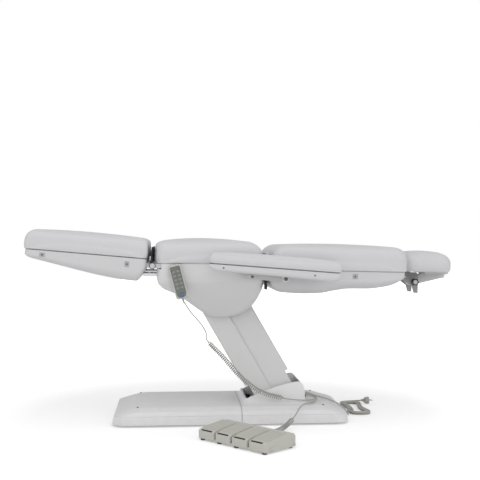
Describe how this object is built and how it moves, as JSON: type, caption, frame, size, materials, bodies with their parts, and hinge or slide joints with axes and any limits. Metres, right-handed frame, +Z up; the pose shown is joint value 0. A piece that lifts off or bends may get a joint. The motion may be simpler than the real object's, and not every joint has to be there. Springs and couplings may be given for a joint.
{
  "type": "podiatry chair",
  "caption": "Powered foot-care treatment chair lying flat: padded seat, backrest, leg rests, armrests and headrest on a covered lift arm and base, with hand and foot controls.",
  "frame": {"origin": "on the floor under the middle of the base", "axes": "+X along the chair towards the headrest, +Y towards the side away from the hand control, +Z up"},
  "size_m": [1.8853, 1.1897, 0.8482],
  "materials": {
    "upholstery": "satin",
    "white_shell": "satin",
    "frame_steel": "satin",
    "bright_steel": "polished",
    "feet_rubber": "matte",
    "beige_plastic": "satin",
    "keypad": "matte",
    "blue_key": "gloss",
    "black_plastic": "satin",
    "pedal_plastic": "satin",
    "cord": "satin",
    "mains_cord": "satin",
    "actuator_tube": "satin"
  },
  "bodies": {
    "base": {"base_plate": "frame_steel", "levelling_feet": "feet_rubber", "base_cover_front": "white_shell", "base_cover_rear": "white_shell", "foot_control_box": "beige_plastic", "handset_cord_lower": "cord", "foot_cord_curls": "cord", "foot_cord_lead": "cord", "mains_cord": "mains_cord", "mains_hank": "mains_cord", "mains_plug": "black_plastic"},
    "lift_arm": {"main_arm": "frame_steel", "arm_cover_front": "white_shell"},
    "tie_arm": {"tie_arm": "frame_steel", "arm_cover_rear": "white_shell"},
    "carriage": {"carriage": "frame_steel", "handset_cord_curls": "cord"},
    "lift_tube": {"lift_actuator_tube": "actuator_tube"},
    "lift_rod": {"lift_actuator_rod": "bright_steel"},
    "tilt_tube": {"tilt_actuator_tube": "actuator_tube"},
    "tilt_rod": {"tilt_actuator_rod": "bright_steel"},
    "seat": {"seat_frame": "frame_steel", "seat_shell_left": "white_shell", "seat_shell_right": "white_shell", "seat_cushion": "upholstery", "armrest_bracket_left": "frame_steel", "armrest_bracket_right": "frame_steel", "handset_shell": "beige_plastic", "handset_keypad": "keypad", "handset_cord_upper": "cord"},
    "stop_key": {"handset_stop_key": "blue_key"},
    "back": {"back_frame": "frame_steel", "back_tray": "white_shell", "back_cushion": "upholstery", "headrest_bracket": "frame_steel"},
    "back_tube": {"back_actuator_tube": "actuator_tube"},
    "back_rod": {"back_actuator_rod": "bright_steel"},
    "headrest": {"headrest_beam": "actuator_tube", "headrest_board": "actuator_tube", "headrest_pillow": "upholstery"},
    "headrest_knob": {"headrest_knob": "black_plastic"},
    "leg_left": {"leg_frame_left": "frame_steel", "leg_tray_left": "white_shell", "leg_cushion_left": "upholstery"},
    "leg_left_tube": {"leg_left_actuator_tube": "actuator_tube"},
    "leg_left_rod": {"leg_left_actuator_rod": "bright_steel"},
    "armrest_left": {"armrest_tray_left": "white_shell", "armrest_pad_left": "upholstery"},
    "leg_right": {"leg_frame_right": "frame_steel", "leg_tray_right": "white_shell", "leg_cushion_right": "upholstery"},
    "leg_right_tube": {"leg_right_actuator_tube": "actuator_tube"},
    "leg_right_rod": {"leg_right_actuator_rod": "bright_steel"},
    "armrest_right": {"armrest_tray_right": "white_shell", "armrest_pad_right": "upholstery"},
    "pedal_1": {"pedal_1": "pedal_plastic"},
    "pedal_2": {"pedal_2": "pedal_plastic"},
    "pedal_3": {"pedal_3": "pedal_plastic"},
    "pedal_4": {"pedal_4": "pedal_plastic"}
  },
  "joints": [
    {"name": "lift", "type": "hinge", "parent": "base", "child": "lift_arm", "pos_m": [0.133, 0, 0.13], "axis": [0, 1, 0], "range_deg": [-35, 6], "deforming": ["handset_cord_lower"]},
    {"name": "lift_tie", "type": "hinge", "parent": "base", "child": "tie_arm", "pos_m": [0.247, 0, 0.13], "axis": [0, 1, 0], "range_deg": [-35, 6]},
    {"name": "lift_level", "type": "hinge", "parent": "lift_arm", "child": "carriage", "pos_m": [-0.1325, 0, 0.58986], "axis": [0, 1, 0], "range_deg": [-6, 35], "deforming": ["handset_cord_curls"]},
    {"name": "lift_actuator_swing", "type": "hinge", "parent": "base", "child": "lift_tube", "pos_m": [0.133, 0, 0.13], "axis": [0, 1, 0], "range_deg": [-40.25, 6.9]},
    {"name": "lift_actuator_stroke", "type": "slide", "parent": "lift_tube", "child": "lift_rod", "axis": [-0.3129, 0, 0.9498], "range_m": [-0.05416, 0.00937]},
    {"name": "tilt", "type": "hinge", "parent": "carriage", "child": "seat", "pos_m": [-0.075, 0, 0.64], "axis": [0, 1, 0], "range_deg": [-2, 15], "deforming": ["handset_cord_upper"]},
    {"name": "tilt_actuator_swing", "type": "hinge", "parent": "carriage", "child": "tilt_tube", "pos_m": [-0.196, 0, 0.562], "axis": [0, 1, 0], "range_deg": [-2.04, 15.3]},
    {"name": "tilt_actuator_stroke", "type": "slide", "parent": "tilt_tube", "child": "tilt_rod", "axis": [-0.6624, 0, 0.7491], "range_m": [-0.00511, 0.03769]},
    {"name": "backrest", "type": "hinge", "parent": "seat", "child": "back", "pos_m": [0.151, 0, 0.742], "axis": [0, -1, 0], "range_deg": [0, 70]},
    {"name": "back_actuator_swing", "type": "hinge", "parent": "seat", "child": "back_tube", "pos_m": [-0.15, 0.216, 0.575], "axis": [0, -1, 0], "range_deg": [0, 14.42]},
    {"name": "back_actuator_stroke", "type": "slide", "parent": "back_tube", "child": "back_rod", "axis": [0.9972, 0, 0.0746], "range_m": [0, 0.13449]},
    {"name": "headrest_tilt", "type": "hinge", "parent": "back", "child": "headrest", "pos_m": [0.84693, 0, 0.60796], "axis": [0, -1, 0], "range_deg": [-35, 3]},
    {"name": "headrest_clamp", "type": "hinge", "parent": "back", "child": "headrest_knob", "pos_m": [0.84693, -0.069, 0.60796], "axis": [0, -1, 0], "range_deg": [-90, 90]},
    {"name": "leg_left_raise", "type": "hinge", "parent": "seat", "child": "leg_left", "pos_m": [-0.34, -0.15, 0.6905], "axis": [0, 1, 0], "range_deg": [-55, 3]},
    {"name": "leg_left_actuator_swing", "type": "hinge", "parent": "seat", "child": "leg_left_tube", "pos_m": [-0.09, -0.178, 0.65], "axis": [0, 1, 0], "range_deg": [-7.37, 0.4]},
    {"name": "leg_left_actuator_stroke", "type": "slide", "parent": "leg_left_tube", "child": "leg_left_rod", "axis": [-0.9999, 0, 0.0148], "range_m": [-0.05347, 0.00301]},
    {"name": "leg_right_raise", "type": "hinge", "parent": "seat", "child": "leg_right", "pos_m": [-0.34, 0.15, 0.6905], "axis": [0, 1, 0], "range_deg": [-55, 3]},
    {"name": "leg_right_actuator_swing", "type": "hinge", "parent": "seat", "child": "leg_right_tube", "pos_m": [-0.09, 0.178, 0.65], "axis": [0, 1, 0], "range_deg": [-7.37, 0.4]},
    {"name": "leg_right_actuator_stroke", "type": "slide", "parent": "leg_right_tube", "child": "leg_right_rod", "axis": [-0.9999, 0, 0.0148], "range_m": [-0.05347, 0.00301]},
    {"name": "armrest_left_lift", "type": "hinge", "parent": "seat", "child": "armrest_left", "pos_m": [0.217, -0.355, 0.637], "axis": [0, 1, 0], "range_deg": [0, 80]},
    {"name": "armrest_right_lift", "type": "hinge", "parent": "seat", "child": "armrest_right", "pos_m": [0.217, 0.355, 0.637], "axis": [0, 1, 0], "range_deg": [0, 80]},
    {"name": "stop_key_press", "type": "slide", "parent": "seat", "child": "stop_key", "axis": [0, 1, 0], "range_m": [0, 0.0015], "stiffness_N_per_m": 600, "springref_m": -0.002},
    {"name": "pedal_1_press", "type": "hinge", "parent": "base", "child": "pedal_1", "pos_m": [-0.02619, -0.43584, 0.038], "axis": [0.6508, -0.7593, 0], "range_deg": [0, 2.2], "stiffness_Nm_per_rad": 20, "springref_deg": -3.44},
    {"name": "pedal_2_press", "type": "hinge", "parent": "base", "child": "pedal_2", "pos_m": [0.03368, -0.50569, 0.038], "axis": [0.6508, -0.7593, 0], "range_deg": [0, 2.2], "stiffness_Nm_per_rad": 20, "springref_deg": -3.44},
    {"name": "pedal_3_press", "type": "hinge", "parent": "base", "child": "pedal_3", "pos_m": [0.09355, -0.57555, 0.038], "axis": [0.6508, -0.7593, 0], "range_deg": [0, 2.2], "stiffness_Nm_per_rad": 20, "springref_deg": -3.44},
    {"name": "pedal_4_press", "type": "hinge", "parent": "base", "child": "pedal_4", "pos_m": [0.15342, -0.6454, 0.038], "axis": [0.6508, -0.7593, 0], "range_deg": [0, 2.2], "stiffness_Nm_per_rad": 20, "springref_deg": -3.44}
  ],
  "couplings": [
    {"joint": "lift_tie", "follows": "lift", "ratio": 1},
    {"joint": "lift_level", "follows": "lift", "ratio": -1},
    {"joint": "lift_actuator_swing", "follows": "lift", "ratio": 1.15},
    {"joint": "lift_actuator_stroke", "follows": "lift", "m_per_rad": 0.0885},
    {"joint": "tilt_actuator_swing", "follows": "tilt", "ratio": 1.02},
    {"joint": "tilt_actuator_stroke", "follows": "tilt", "m_per_rad": 0.1436},
    {"joint": "back_actuator_swing", "follows": "backrest", "ratio": 0.206},
    {"joint": "back_actuator_stroke", "follows": "backrest", "m_per_rad": 0.11},
    {"joint": "leg_left_actuator_swing", "follows": "leg_left_raise", "ratio": 0.134},
    {"joint": "leg_left_actuator_stroke", "follows": "leg_left_raise", "m_per_rad": 0.0556},
    {"joint": "leg_right_actuator_swing", "follows": "leg_right_raise", "ratio": 0.134},
    {"joint": "leg_right_actuator_stroke", "follows": "leg_right_raise", "m_per_rad": 0.0556}
  ]
}
